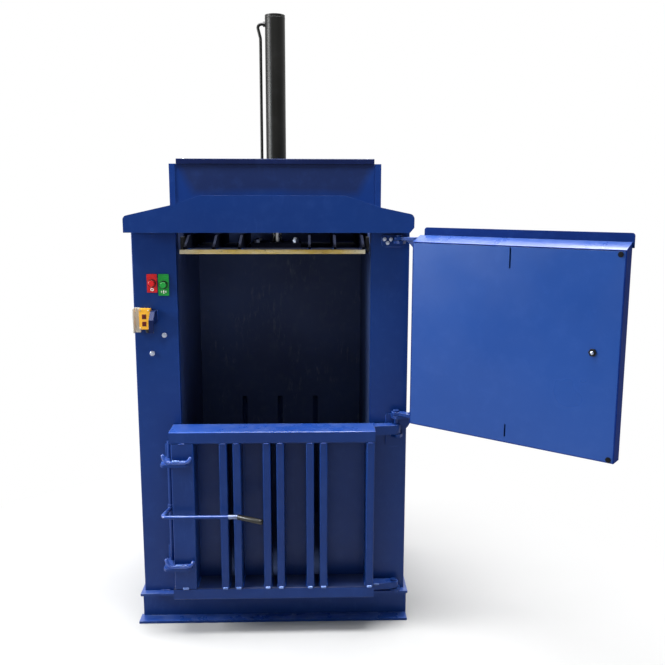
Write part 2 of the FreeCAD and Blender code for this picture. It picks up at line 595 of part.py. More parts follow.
tongue = tongue.cut(cylinder(SPINDLE_R, V(SPINDLE_X, LEAF_OUT - 30, SPINDLE_Z), BACK, 30))
save("latch_tongue", open_door(tongue))
nut = hex_prism(24, V(SPINDLE_X, LEAF_IN + 0.5, SPINDLE_Z), BACK, 4)
save("spindle_nut", open_door(nut))

# ---- bale door ----------------------------------------------------------------------------------
def rail(z0, z1):
    bar = box(GATE_LEFT, GATE_RIGHT, GATE_OUT, GATE_IN, z0, z1)
    return rounded(bar, 6.0, RIGHT)


save("gate_rails", rail(*TOP_RAIL), rail(*BOTTOM_RAIL))
STILE_WALL = 5.0
STILE_LEFT = (-386.0, -300.0)
STILE_RIGHT = (363.5, 394.5)
stile_z = (BOTTOM_RAIL[1], TOP_RAIL[0])
stiles = [rounded(box(*span, GATE_OUT, GATE_IN, *stile_z), 4.0, UP, lambda p: p.y < -100)
          for span in (STILE_LEFT, STILE_RIGHT)]
hollow_x = (STILE_LEFT[0] + STILE_WALL, STILE_LEFT[1] - STILE_WALL)
stiles[0] = stiles[0].cut(box(*hollow_x, GATE_OUT + STILE_WALL, GATE_IN - STILE_WALL, *stile_z))
for claw_z in CLAW_Z:
    z0 = claw_z - 4
    z1 = claw_z + CLAW_THICK + 4
    side_window = box(STILE_LEFT[0] - 1, hollow_x[0] + 1, GATE_OUT + STILE_WALL + 1, GATE_IN + 1, z0, z1)
    back_window = box(STILE_LEFT[0] - 1, -340, GATE_IN - STILE_WALL - 1, GATE_IN + 1, z0, z1)
    stiles[0] = stiles[0].cut(side_window).cut(back_window)
save("gate_stiles", *stiles)
edges_x = [STILE_LEFT[1]]
for strap_x in STRAP_X:
    edges_x += [strap_x - STRAP_SLOT / 2, strap_x + STRAP_SLOT / 2]
edges_x.append(STILE_RIGHT[0])
panels = [box(edges_x[k], edges_x[k + 1], GATE_IN - GATE_PANEL, GATE_IN, *stile_z) for k in range(0, 8, 2)]
save("gate_panels", *panels)
ribs = []
for strap_x in STRAP_X:
    for x0 in (strap_x - STRAP_SLOT / 2 - RIB_WIDTH, strap_x + STRAP_SLOT / 2):
        rib = box(x0, x0 + RIB_WIDTH, GATE_OUT, GATE_IN - GATE_PANEL, *stile_z)
        ribs.append(rounded(rib, 4.0, UP, lambda p: p.y < -100))
save("gate_ribs", *ribs)


def gate_arm(z0, z1):
    """Bar from the rail end to the eye about the pin."""
    points = [V(GATE_RIGHT, -60, z0), V(PIVOT.x, PIVOT.y - EYE_R, z0),
              (V(PIVOT.x + EYE_R, PIVOT.y, z0), V(PIVOT.x, PIVOT.y + EYE_R, z0)),
              V(GATE_RIGHT, PIVOT.y + EYE_R, z0)]
    arm = prism(points, UP * (z1 - z0))
    return arm.cut(cylinder(PIN_R + PIN_FIT, V(PIVOT.x, PIVOT.y, z0 - 1), UP, z1 - z0 + 2))


save("gate_arms", *[gate_arm(*eye) for eye in GATE_EYES])
bearings = []
for claw_z in CLAW_Z:
    z0 = claw_z + CLAW_THICK + 1
    outline = [(-312, GATE_OUT), (-312, -138), (-330, -148), (-414, -148), (-424, -138), (-424, -80),
               (-416, -44), (STILE_LEFT[0], -44), (STILE_LEFT[0], GATE_OUT)]
    plate = plan(outline, z0, z0 + BEARING_THICK)
    bearings.append(plate.cut(cylinder(LOCK_R + PIN_FIT, V(LOCK.x, LOCK.y, z0 - 1), UP, BEARING_THICK + 2)))
save("lock_bearings", *bearings)

# ---- lock of the bale door: shaft and claws on the door, keepers on the left column -------------
KEEPER = V(-418, -22, 0)
KEEPER_R = 6.0
keepers = []
for claw_z in CLAW_Z:
    z0 = claw_z - 1 - BEARING_THICK
    z1 = claw_z + CLAW_THICK + 1 + BEARING_THICK + 44
    foot = plan([(-444, 0), (-430, -34), (-406, -34), (-400, -20), (-400, 0)], z0, z0 + BEARING_THICK)
    pin = cylinder(KEEPER_R, V(KEEPER.x, KEEPER.y, z0 + BEARING_THICK), UP, z1 - z0 - BEARING_THICK)
    keepers.append(fused([foot, pin]))
save("lock_keepers", *keepers)
save("lock_shaft", cylinder(LOCK_R, V(LOCK.x, LOCK.y, 262), UP, 784 - 262))


def about_lock(radius, degrees, z):
    """Point about the lock shaft, counted from the right and turning to the back."""
    angle = math.radians(degrees)
    return V(LOCK.x + radius * math.cos(angle), LOCK.y + radius * math.sin(angle), z)


def lock_claw(z):
    """Arm with a hook that slides behind the keeper pin as the shaft turns."""
    hook = [about_lock(FINGER[1], 62, z), (about_lock(FINGER[1], 80, z), about_lock(FINGER[1], 98.5, z)),
            about_lock(FINGER[0], 99.8, z), (about_lock(FINGER[0], 93, z), about_lock(FINGER[0], 86, z)),
            about_lock(CLAW_HUB, 115, z), (about_lock(CLAW_HUB, 225, z), about_lock(CLAW_HUB, 20, z))]
    return prism(hook, UP * CLAW_THICK).cut(cylinder(LOCK_R, V(LOCK.x, LOCK.y, z - 1), UP, CLAW_THICK + 2))


CLAW_HUB = 13.0
FINGER = (48.5, 56.5)
save("lock_claws", *[lock_claw(claw_z) for claw_z in CLAW_Z])
boss = tube(13.0, LOCK_R, V(LOCK.x, LOCK.y, LEVER_Z - 14), UP, 28)
LEVER_END = V(-167, LEVER_Y, LEVER_Z)
lever = bent_bar([V(LOCK.x - 1.5, LOCK.y - 10, LEVER_Z), V(-423, LEVER_Y, LEVER_Z), LEVER_END], [18.0], LEVER_R)
web = plan([(-410, -70), (-424, -136), (-410, -136), (-396, -70)], LEVER_Z - 4, LEVER_Z + 4)
lever = fused([boss, lever.cut(cylinder(LOCK_R, V(LOCK.x, LOCK.y, LEVER_Z - 20), UP, 40)), web])
save("lock_lever", lever)
FERRULE = 35.0
GRIP_R = 10.5
save("lever_ferrule", cylinder(LEVER_R + 1.5, LEVER_END, RIGHT, FERRULE))
grip_start = LEVER_END + RIGHT * FERRULE
crank = math.radians(28)
grip_axis = V(math.cos(crank), -math.sin(crank), 0)
grip = cylinder(GRIP_R, grip_start, grip_axis, 112)
grip = grip.makeChamfer(4, [e for e in grip.Edges if e.Closed and (e.CenterOfMass - grip_start).Length > 100])
save("lever_grip", grip.cut(box(grip_start.x - 30, grip_start.x, LEVER_Y - 30, LEVER_Y + 30,
                                LEVER_Z - 30, LEVER_Z + 30)))
print(len(os.listdir("parts")), "nodes")
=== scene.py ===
"""Looks of the recycling baler: paint, bare metal, welds, marks, floor, light and camera.

Places are in metres, in the frame that the CAD part was packed in: X to the right, Y to the back, Z up.
"""
import math
import random

import bmesh
import bpy
from mathutils import Matrix, Vector


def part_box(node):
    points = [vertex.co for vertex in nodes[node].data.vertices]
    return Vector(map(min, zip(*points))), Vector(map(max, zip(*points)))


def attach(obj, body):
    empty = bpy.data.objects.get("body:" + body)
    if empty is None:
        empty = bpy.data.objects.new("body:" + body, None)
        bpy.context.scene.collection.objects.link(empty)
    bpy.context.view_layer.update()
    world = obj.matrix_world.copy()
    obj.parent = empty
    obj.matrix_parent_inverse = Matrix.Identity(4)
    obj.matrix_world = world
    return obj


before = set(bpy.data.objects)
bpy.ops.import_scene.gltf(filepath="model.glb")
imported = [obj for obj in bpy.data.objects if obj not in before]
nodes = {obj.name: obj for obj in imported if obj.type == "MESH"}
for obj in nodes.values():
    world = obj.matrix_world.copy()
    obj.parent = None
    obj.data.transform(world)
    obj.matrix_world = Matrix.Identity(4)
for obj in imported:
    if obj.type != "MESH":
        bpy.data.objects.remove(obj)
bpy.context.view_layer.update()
# the ripples of the welds come out the same in every run
random.seed(7)
MM = 0.001

# ---- camera, at the photograph's viewing angle: metres, degrees and millimetres of lens ----------
CAMERA_AT = (0.147, -3.019, 1.714)
CAMERA_YAW = 1.669
CAMERA_DOWN = 9.674
CAMERA_ROLL = 0.098
CAMERA_LENS = 42.58
SENSOR_WIDTH = 36.0


def turned(degrees, axis):
    return Matrix.Rotation(math.radians(degrees), 4, axis)


def make_camera():
    data = bpy.data.cameras.new("camera")
    data.lens = CAMERA_LENS
    data.sensor_width = SENSOR_WIDTH
    data.sensor_fit = "HORIZONTAL"
    camera = bpy.data.objects.new("camera", data)
    camera.location = CAMERA_AT
    turn = turned(-CAMERA_YAW, "Z") @ turned(90 - CAMERA_DOWN, "X") @ turned(CAMERA_ROLL, "Z")
    camera.rotation_euler = turn.to_euler()
    bpy.context.scene.collection.objects.link(camera)
    bpy.context.scene.camera = camera


make_camera()


# ---- node materials ------------------------------------------------------------------------------
class Shader:
    """Small helper that builds one node material in the object's own metres."""

    def __init__(self, name):
        self.material = bpy.data.materials.new(name)
        self.material.use_nodes = True
        self.tree = self.material.node_tree
        self.surface = self.tree.nodes["Principled BSDF"]
        self.coordinates = self.add("ShaderNodeTexCoord").outputs["Object"]

    def add(self, kind, **settings):
        node = self.tree.nodes.new(kind)
        for key, value in settings.items():
            setattr(node, key, value)
        return node

    def feed(self, socket, value):
        if isinstance(value, bpy.types.NodeSocket):
            self.tree.links.new(value, socket)
        else:
            socket.default_value = value

    def set(self, **inputs):
        for key, value in inputs.items():
            self.surface.inputs[key.replace("_", " ")].default_value = value

    def along(self, axis):
        """Place along X, Y or Z."""
        split = self.add("ShaderNodeSeparateXYZ")
        self.feed(split.inputs["Vector"], self.coordinates)
        return split.outputs[axis]

    def stretched(self, scale):
        mapping = self.add("ShaderNodeMapping")
        self.feed(mapping.inputs["Vector"], self.coordinates)
        mapping.inputs["Scale"].default_value = scale
        return mapping.outputs["Vector"]

    def noise(self, scale, detail=4.0, roughness=0.55, stretch=None, distortion=0.0):
        node = self.add("ShaderNodeTexNoise")
        self.feed(node.inputs["Vector"], self.stretched(stretch) if stretch else self.coordinates)
        node.inputs["Scale"].default_value = scale
        node.inputs["Detail"].default_value = detail
        node.inputs["Roughness"].default_value = roughness
        node.inputs["Distortion"].default_value = distortion
        return node.outputs["Fac"]

    def ramp(self, value, low, high, to_low=0.0, to_high=1.0):
        """Straight ramp that stops at both ends."""
        node = self.add("ShaderNodeMapRange", clamp=True)
        node.inputs["From Min"].default_value = low
        node.inputs["From Max"].default_value = high
        node.inputs["To Min"].default_value = to_low
        node.inputs["To Max"].default_value = to_high
        self.feed(node.inputs["Value"], value)
        return node.outputs["Result"]

    def math(self, operation, first, second):
        node = self.add("ShaderNodeMath", operation=operation)
        self.feed(node.inputs[0], first)
        self.feed(node.inputs[1], second)
        return node.outputs["Value"]

    def mix(self, factor, first, second):
        node = self.add("ShaderNodeMix", data_type="RGBA")
        self.feed(node.inputs["Factor"], factor)
        self.feed(node.inputs["A"], first)
        self.feed(node.inputs["B"], second)
        return node.outputs["Result"]

    def edge_mask(self, radius):
        """1 near edges, where the rounded normal leaves the true one."""
        bevel = self.add("ShaderNodeBevel", samples=4)
        bevel.inputs["Radius"].default_value = radius
        geometry = self.add("ShaderNodeNewGeometry")
        dot = self.add("ShaderNodeVectorMath", operation="DOT_PRODUCT")
        self.feed(dot.inputs[0], bevel.outputs["Normal"])
        self.feed(dot.inputs[1], geometry.outputs["Normal"])
        return self.ramp(dot.outputs["Value"], 0.995, 0.80)

    def facing_up(self):
        """1 on faces that look up, 0 on upright ones."""
        geometry = self.add("ShaderNodeNewGeometry")
        split = self.add("ShaderNodeSeparateXYZ")
        self.feed(split.inputs["Vector"], geometry.outputs["Normal"])
        return self.ramp(split.outputs["Z"], 0.3, 0.95)

    def bump(self, height, strength, distance):
        node = self.add("ShaderNodeBump")
        node.inputs["Strength"].default_value = strength
        node.inputs["Distance"].default_value = distance
        self.feed(node.inputs["Height"], height)
        self.feed(self.surface.inputs["Normal"], node.outputs["Normal"])


def colour(red, green, blue):
    """Linear colour with alpha from 8-bit display values."""
    def linear(value):
        value = value / 255.0
        return value / 12.92 if value <= 0.04045 else ((value + 0.055) / 1.055) ** 2.4
    return (linear(red), linear(green), linear(blue), 1.0)


BLUE = colour(13, 50, 115)
BLUE_DARK = colour(10, 41, 101)
BLUE_WORN = colour(58, 92, 160)
DUST = colour(96, 112, 150)
# tone of the painted shade on the front cover
SHADE_FIELD_TONE = colour(24, 34, 66)
WORN_EDGE = 2.4 * MM


def painted(name, base, dark, worn, roughness=0.32, coat=0.0, specular=0.2, edge=0.5, dust=0.2, scuffs=0.3,
            along=(1.0, 1.0, 0.22), shade_field=None):
    """Sprayed enamel on steel plate: orange peel, soft clouding, scuffs, rubbed edges and dust."""
    look = Shader(name)
    # the paint itself: soft clouds from dark to base, painted shade where a shade field is given, fine pale
    # specks
    tint = look.mix(look.ramp(look.noise(1.7, 2.0, 0.5), 0.25, 0.75), dark, base)
    if shade_field:
        tint = look.mix(shade_field(look), tint, SHADE_FIELD_TONE)
    tint = look.mix(look.ramp(look.noise(21.0, 4.0, 0.62), 0.50, 0.80, 0.0, 0.10), tint, worn)
    # wear: strokes in patches, and chips along the edges
    patches = look.ramp(look.noise(5.0, 3.0, 0.6), 0.48, 0.72)
    strokes = look.ramp(look.noise(70.0, 5.0, 0.72, stretch=along, distortion=0.6), 0.54, 0.76, 0.0, scuffs)
    scuffed = look.math("MULTIPLY", patches, strokes)
    chip = look.ramp(look.noise(75.0, 6.0, 0.7), 0.48, 0.60)
    edges = look.math("MULTIPLY", look.math("MULTIPLY", look.edge_mask(WORN_EDGE), chip), edge)
    wear = look.math("MAXIMUM", scuffed, edges)
    tint = look.mix(wear, tint, worn)
    # dust lies on what looks up
    speckle = look.ramp(look.noise(11.0, 6.0, 0.65), 0.35, 0.75, 0.0, dust)
    dusty = look.math("MULTIPLY", look.facing_up(), speckle)
    look.feed(look.surface.inputs["Base Color"], look.mix(dusty, tint, DUST))
    rough = look.ramp(look.noise(5.0, 2.0, 0.5), 0.2, 0.8, roughness - 0.05, roughness + 0.09)
    look.feed(look.surface.inputs["Roughness"], look.math("ADD", rough, look.math("MULTIPLY", dusty, 0.4)))
    look.set(Specular_IOR_Level=specular, Coat_Weight=coat, Coat_Roughness=0.12)
    # relief: orange peel over long waves of the plate, lower where the paint is worn
    peel = look.noise(420.0, 2.0, 0.5)
    waves = look.math("MULTIPLY", look.noise(7.0, 2.0, 0.5), 4.0)
    height = look.math("SUBTRACT", look.math("ADD", peel, waves), look.math("MULTIPLY", wear, 0.8))
    look.bump(height, 0.14, 0.6 * MM)
    return look.material


def rubbed_and_top_lit(name, base, dark, worn, scuffs):
    """Glossy enamel, rubbed lengthwise by the load and by hands; with the lighter bases given to it, it also
    paints the light that falls on tops.
    """
    return painted(name, base, dark, worn, roughness=0.24, coat=0.4, specular=0.5, scuffs=scuffs, edge=0.9,
                   along=(0.10, 1.6, 1.0))


def bare_metal(name, base, dark, roughness=0.3, spots=0.35):
    """Zinc plated or machined steel with grain and dull spots."""
    look = Shader(name)
    stain = look.ramp(look.noise(55.0, 5.0, 0.65), 0.45, 0.7, 0.0, spots)
    look.feed(look.surface.inputs["Base Color"], look.mix(stain, base, dark))
    look.set(Metallic=1.0)
    lines = look.noise(30.0, 3.0, 0.6, stretch=(1.0, 1.0, 40.0))
    rough = look.ramp(lines, 0.3, 0.7, roughness - 0.06, roughness + 0.14)
    look.feed(look.surface.inputs["Roughness"], rough)
    look.bump(lines, 0.08, 0.3 * MM)
    return look.material


def moulded(name, base, dark, roughness=0.42, specular=0.4):
    """Moulded plastic or rubber with a fine grain and handling marks."""
    look = Shader(name)
    marks = look.ramp(look.noise(24.0, 5.0, 0.6), 0.4, 0.75, 0.0, 0.55)
    look.feed(look.surface.inputs["Base Color"], look.mix(marks, base, dark))
    worn = look.ramp(look.noise(45.0, 3.0, 0.5), 0.3, 0.7, roughness - 0.08, roughness + 0.1)
    look.feed(look.surface.inputs["Roughness"], worn)
    look.set(Specular_IOR_Level=specular)
    look.bump(look.noise(260.0, 2.0, 0.5), 0.12, 0.3 * MM)
    return look.material


def worn_bar():
    """Yellow nose bar, rubbed to a pale dirty steel towards its ends by the load."""
    look = Shader("yellow_enamel")
    low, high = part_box("platen_nose_bar")
    middle = (low.x + high.x) / 2
    reach = look.math("ABSOLUTE", look.math("SUBTRACT", look.along("X"), middle), 0.0)
    ends = look.ramp(reach, (high.x - middle) - 100 * MM, high.x - middle)
    patch = look.ramp(look.noise(34.0, 6.0, 0.7, stretch=(0.3, 1.0, 1.0)), 0.40, 0.64)
    bare = look.math("MAXIMUM", look.math("MULTIPLY", ends, 0.85), look.math("MULTIPLY", patch, 0.45))
    tint = look.mix(look.ramp(look.noise(8.0, 4.0), 0.35, 0.65), colour(212, 180, 84), colour(180, 148, 66))
    tint = look.mix(bare, tint, colour(226, 220, 196))
    grime = look.ramp(look.noise(90.0, 5.0, 0.7), 0.58, 0.72, 0.0, 0.7)
    look.feed(look.surface.inputs["Base Color"], look.mix(grime, tint, colour(70, 56, 38)))
    look.feed(look.surface.inputs["Roughness"], look.ramp(patch, 0.0, 1.0, 0.5, 0.34))
    height = look.math("ADD", look.noise(220.0, 3.0, 0.6), look.math("MULTIPLY", patch, 1.4))
    look.bump(height, 0.25, 0.5 * MM)
    return look.material


def painted_shade_field(look):
    """Painted shade on the front cover: a dark field in its middle, wider towards the top; its sides and
    lower corners keep the plain paint.
    """
    low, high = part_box("housing_front_cover")
    unshaded_foot, unshaded_side, slope = 50 * MM, 85 * MM, 0.55
    x, z = look.along("X"), look.along("Z")
    rise = look.math("SUBTRACT", z, low.z + unshaded_foot)
    spread = look.math("MULTIPLY", rise, slope)
    left = look.math("SUBTRACT", look.math("ADD", x, spread), low.x + unshaded_side)
    right = look.math("ADD", look.math("SUBTRACT", spread, x), high.x - unshaded_side)
    inside = look.math("MINIMUM", look.math("MINIMUM", left, right), rise)
    cloud = look.math("MULTIPLY", look.math("SUBTRACT", look.noise(6.0, 3.0), 0.5), 40 * MM)
    return look.ramp(look.math("ADD", inside, cloud), -12 * MM, 30 * MM, 0.0, 0.75)


materials = {
    "blue": painted("blue_enamel", BLUE, BLUE_DARK, BLUE_WORN),
    # the front cover: plain blue with a painted shade field in its middle
    "blue_cover": painted("blue_enamel_cover", BLUE, BLUE_DARK, BLUE_WORN, scuffs=0.15, shade_field=painted_shade_field),
    "blue_door": painted("blue_enamel_door", colour(11, 61, 134), colour(9, 55, 124), colour(62, 98, 166),
                         roughness=0.3, specular=0.4, scuffs=0.0),
    "blue_satin": painted("blue_enamel_satin", colour(13, 42, 116), colour(11, 36, 102), BLUE_WORN,
                          roughness=0.6, specular=0.03, scuffs=0.1),
    "blue_lip": painted("blue_enamel_shaded", colour(12, 38, 98), colour(10, 33, 86), BLUE_WORN,
                        roughness=0.6, specular=0.03, scuffs=0.1),
    # lighter, glossier blues on faces that look up: partly wear, partly a painted highlight of the top light
    "rubbed_and_top_lit": rubbed_and_top_lit("blue_enamel_rubbed_top_lit", colour(40, 78, 160), colour(18, 58, 138), colour(186, 202, 236),
                     scuffs=0.8),
    "rubbed_lip_top_lit": rubbed_and_top_lit("blue_enamel_lip", colour(42, 72, 140), colour(24, 56, 124), colour(178, 194, 228),
                         scuffs=0.4),
    # dark blue: the plain colour of the keeper, and painted shade on the top plate and the lower rail's tops
    "blue_night": painted("blue_enamel_dark", colour(9, 26, 72), colour(6, 18, 54), colour(44, 62, 110)),
    # chamber walls: lighter blue-grey, partly scraped paint, partly painted light for the light the chamber
    # lacks
    "blue_inside": painted("blue_enamel_scraped_and_lit", colour(58, 76, 122), colour(38, 48, 82),
                           colour(120, 126, 140), roughness=0.5, scuffs=0.9, edge=0.7),
    # near-black blue of the platen, its ribs and rod flange: partly grime, partly painted shade under the
    # crossbeam
    "blue_grime_and_shade": painted("blue_enamel_grime_and_shade", colour(9, 16, 38), colour(8, 10, 20), colour(44, 50, 66),
                          roughness=0.6, specular=0.1, scuffs=0.5, edge=0.15, dust=0.05),
    "weld": painted("painted_weld", colour(20, 62, 142), colour(14, 50, 124), BLUE_WORN,
                    roughness=0.24, specular=0.5, edge=0.2, dust=0.1),
    # pale glossy weld beads: painted highlights where the light glints
    "weld_painted_glint": painted("weld_painted_highlight", colour(112, 142, 204), colour(60, 96, 172), colour(214, 222, 240),
                       roughness=0.16, specular=0.8, edge=0.2, dust=0.1),
    "black": painted("black_enamel", colour(15, 15, 13), colour(9, 9, 8), colour(56, 56, 58),
                     roughness=0.36, specular=0.24, edge=0.0, dust=0.1, scuffs=0.1),
    "grey": painted("grey_enamel", colour(120, 124, 128), colour(96, 100, 104), colour(170, 172, 174)),
    # near-white bracket: pale plating, with a painted highlight of the strong light from the left
    "plated_and_lit": painted("pale_plating_lit", colour(206, 204, 196), colour(190, 187, 178), colour(226, 226, 220),
                      roughness=0.4, specular=0.4, dust=0.05),
    "yellow": worn_bar(),
    "zinc": bare_metal("zinc_steel", colour(204, 212, 230), colour(132, 134, 142)),
    "worn_tip": bare_metal("worn_steel", colour(120, 130, 160), colour(60, 66, 92), roughness=0.45),
    "chrome": bare_metal("chrome", colour(226, 228, 232), colour(150, 152, 156), roughness=0.12, spots=0.2),
    "aluminium": bare_metal("aluminium", colour(198, 200, 202), colour(150, 150, 152), roughness=0.34),
    "rubber": moulded("black_rubber", colour(16, 15, 12), colour(44, 40, 30), roughness=0.32),
    "buffer": moulded("buffer_rubber", colour(12, 12, 14), colour(26, 26, 28), roughness=0.7, specular=0.1),
    "black_plastic": moulded("black_plastic", colour(24, 24, 25), colour(44, 44, 44)),
    "switch": moulded("yellow_plastic", colour(240, 176, 48), colour(214, 140, 26), roughness=0.36),
    "key": moulded("dark_red_plastic", colour(92, 20, 12), colour(48, 10, 8), roughness=0.35),
    "red": moulded("red_plastic", colour(206, 30, 34), colour(150, 14, 18), roughness=0.3),
    "green": moulded("green_plastic", colour(26, 148, 58), colour(12, 104, 36), roughness=0.3),
    "white": moulded("white_print", colour(240, 240, 236), colour(200, 200, 194), roughness=0.5),
}

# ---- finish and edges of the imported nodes; those that aren't named here are plain blue -----------
FINISH = {
    "black": ["cylinder_barrel", "hydraulic_pipe", "spindle_nut"],
    "grey": ["hydraulic_tank", "pump_motor"],
    "aluminium": ["valve_block"],
    "chrome": ["ram_rod"],
    "zinc": ["flange_bolts", "column_bolts", "ram_piston", "cylinder_gland", "latch_tongue"],
    "plated_and_lit": ["interlock_bracket"],
    "worn_tip": ["lever_ferrule"],
    "yellow": ["platen_nose_bar"],
    "switch": ["interlock_switch"],
    "red": ["red_button"],
    "green": ["green_button"],
    "rubber": ["lever_grip"],
    "buffer": ["loading_door_buffers"],
    "black_plastic": ["cable_gland", "guide_pads"],
    "blue_cover": ["housing_front_cover"],
    # the top plate is painted dark for the shade it stands in
    "blue_night": ["housing_top_plate", "door_keeper"],
    "blue_door": ["loading_door_panel"],
    "blue_satin": ["loading_door_skin"],
    "blue_lip": ["loading_door_lip"],
    "blue_inside": ["chamber_floor", "chamber_side_walls", "chamber_back_wall"],
    "blue_grime_and_shade": ["platen_plate", "platen_ribs", "rod_flange"],
}
finish_of = {node: key for key, members in FINISH.items() for node in members}
# width of the rounded edges in millimetres
EDGE = 0.8
EDGE_WIDE = {"gate_rails": 4.5, "gate_stiles": 3.0, "gate_ribs": 2.2, "front_crossbeam": 1.2,
             "loading_door_skin": 1.8, "housing_top_plate": 1.5, "housing_side_plates": 1.2,
             "lock_bearings": 2.2, "lock_lever": 1.2}
# turned pieces, and the channels, whose solids touch at their corners
EDGE_SHARP = {"base_channels", "cylinder_barrel", "hydraulic_pipe", "ram_rod", "ram_piston", "lever_ferrule"}
SAME_PLACE = 0.02 * MM
LOOKS_UP = 0.35


def dress(name, node):
    """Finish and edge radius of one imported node."""
    node.data.materials.clear()
    node.data.materials.append(materials[finish_of.get(name, "blue")])
    weld = node.modifiers.new("weld", "WELD")
    weld.merge_threshold = SAME_PLACE
    if name not in EDGE_SHARP:
        bevel = node.modifiers.new("edge", "BEVEL")
        bevel.width = EDGE_WIDE.get(name, EDGE) * MM
        bevel.segments = 2
        bevel.limit_method = "ANGLE"
        bevel.angle_limit = math.radians(35)
        bevel.harden_normals = True


def split_button_plates():
    """Two plates share one node: red to the left, green to the right."""
    mesh = nodes["button_plates"].data
    mesh.materials.clear()
    mesh.materials.append(materials["red"])
    mesh.materials.append(materials["green"])
    low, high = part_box("button_plates")
    middle = (low.x + high.x) / 2
    for face in mesh.polygons:
        face.material_index = 1 if face.center.x > middle else 0


def finish_tops(name, finish="rubbed_and_top_lit", above=0.1, below=9.0):
    """Faces of a node that look up, between two heights, get a finish of their own."""
    mesh = nodes[name].data
    mesh.materials.append(materials[finish])
    index = len(mesh.materials) - 1
    for face in mesh.polygons:
        if face.normal.z > LOOKS_UP and above < face.center.z < below:
            face.material_index = index


for node_name, node_object in nodes.items():
    dress(node_name, node_object)
split_button_plates()
# tops of the bearings, lever and arms: lighter rubbed blue, partly wear, partly painted highlight
for node_name in ("lock_bearings", "lock_lever", "loading_door_arms", "gate_arms"):
    finish_tops(node_name)
# slanted band of the loading door: lighter rubbed blue, partly wear, partly painted highlight
finish_tops("loading_door_skin", "rubbed_lip_top_lit")
# tops of the upper rail: lighter rubbed blue, partly wear, partly painted highlight
finish_tops("gate_rails", above=0.5)
# tops of the lower rail: dark blue, painted shade between the ribs
finish_tops("gate_rails", "blue_night", below=0.5)
# tops of the base channels' flanges: lighter rubbed blue, partly painted light on the shaded lower flange
finish_tops("base_channels", above=0.0)


# ---- shapes that the added pieces are made of ----------------------------------------------------
def solids(name):
    """Lowest and highest corner of each separate solid of a node, from left to right."""
    mesh = bmesh.new()
    mesh.from_mesh(nodes[name].data)
    bmesh.ops.remove_doubles(mesh, verts=mesh.verts, dist=0.01 * MM)
    left = set(mesh.verts)
    boxes = []
    while left:
        group = [left.pop()]
        for vert in group:
            for edge in vert.link_edges:
                other = edge.other_vert(vert)
                if other in left:
                    left.remove(other)
                    group.append(other)
        low = Vector([min(vert.co[k] for vert in group) for k in range(3)])
        high = Vector([max(vert.co[k] for vert in group) for k in range(3)])
        boxes.append((low, high))
    mesh.free()
    return sorted(boxes, key=lambda pair: (pair[0].x, pair[0].z))


def piece(name, mesh, material, body, smooth=True):
    """Turn a bmesh into an object that rides on a body."""
    bmesh.ops.recalc_face_normals(mesh, faces=mesh.faces)
    data = bpy.data.meshes.new(name)
    mesh.to_mesh(data)
    mesh.free()
    data.materials.append(materials[material])
    if smooth:
        data.shade_smooth()
    thing = bpy.data.objects.new(name, data)
    bpy.context.scene.collection.objects.link(thing)
    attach(thing, body)
    return thing


def frame_of(axis):
    """A direction of unit length and two that stand square to it."""
    axis = axis.normalized()
    first = axis.cross(Vector((0, 0, 1)) if abs(axis.z) < 0.9 else Vector((1, 0, 0))).normalized()
    return axis, first, axis.cross(first)


def ring(mesh, middle, first, second, radius, count):
    """Vertices of a circle in the plane of two directions."""
    corners = []
    for k in range(count):
        turn = k * math.tau / count
        corners.append(mesh.verts.new(middle + (first * math.cos(turn) + second * math.sin(turn)) * radius))
    return corners


def skin(mesh, rings):
    """Side faces between rings of equal count, and both end faces."""
    count = len(rings[0])
    for low, high in zip(rings, rings[1:]):
        for k in range(count):
            following = (k + 1) % count
            mesh.faces.new((low[k], high[k], high[following], low[following]))
    mesh.faces.new(rings[0])
    mesh.faces.new(rings[-1])


def lathe(mesh, profile, base, axis, segments=32):
    """Turn (radius, height) steps about an axis; the height runs along the axis from base."""
    axis, first, second = frame_of(Vector(axis))
    rings = []
    for radius, height in profile:
        middle = Vector(base) + axis * height
        if radius <= 0:
            rings.append([mesh.verts.new(middle)])
        else:
            rings.append(ring(mesh, middle, first, second, radius, segments))
    for low, high in zip(rings, rings[1:]):
        for k in range(segments):
            following = (k + 1) % segments
            if len(low) == 1:
                mesh.faces.new((low[0], high[k], high[following]))
            elif len(high) == 1:
                mesh.faces.new((low[k], high[0], low[following]))
            else:
                mesh.faces.new((low[k], high[k], high[following], low[following]))


def in_mm(profile):
    """Steps of a profile that is written in millimetres."""
    return [(radius * MM, height * MM) for radius, height in profile]


def bead(mesh, start, end, radius=3.2 * MM):
    """Weld run: overlapping ripples along a seam."""
    start, end = Vector(start), Vector(end)
    axis, first, second = frame_of(end - start)
    length = (end - start).length
    ripple = 2.6 * MM
    steps = max(4, round(length / ripple))
    rings = []
    for k in range(steps + 1):
        at_end = k in (0, steps)
        swell = radius * (0.45 if at_end else 0.86 + 0.14 * (k % 2) + random.uniform(-0.05, 0.05))
        middle = start + axis * (length * k / steps) + first * random.uniform(-0.3, 0.3) * MM
        rings.append(ring(mesh, middle, first, second, swell, 8))
    skin(mesh, rings)


def stitches(mesh, start, end, run=40 * MM, pitch=160 * MM, radius=3.0 * MM):
    """Short weld runs at even spacing along a long seam."""
    start, end = Vector(start), Vector(end)
    count = max(1, round((end - start).length / pitch))
    half = (end - start).normalized() * run / 2
    for k in range(count):
        middle = start.lerp(end, (k + 0.5) / count)
        bead(mesh, middle - half, middle + half, radius)


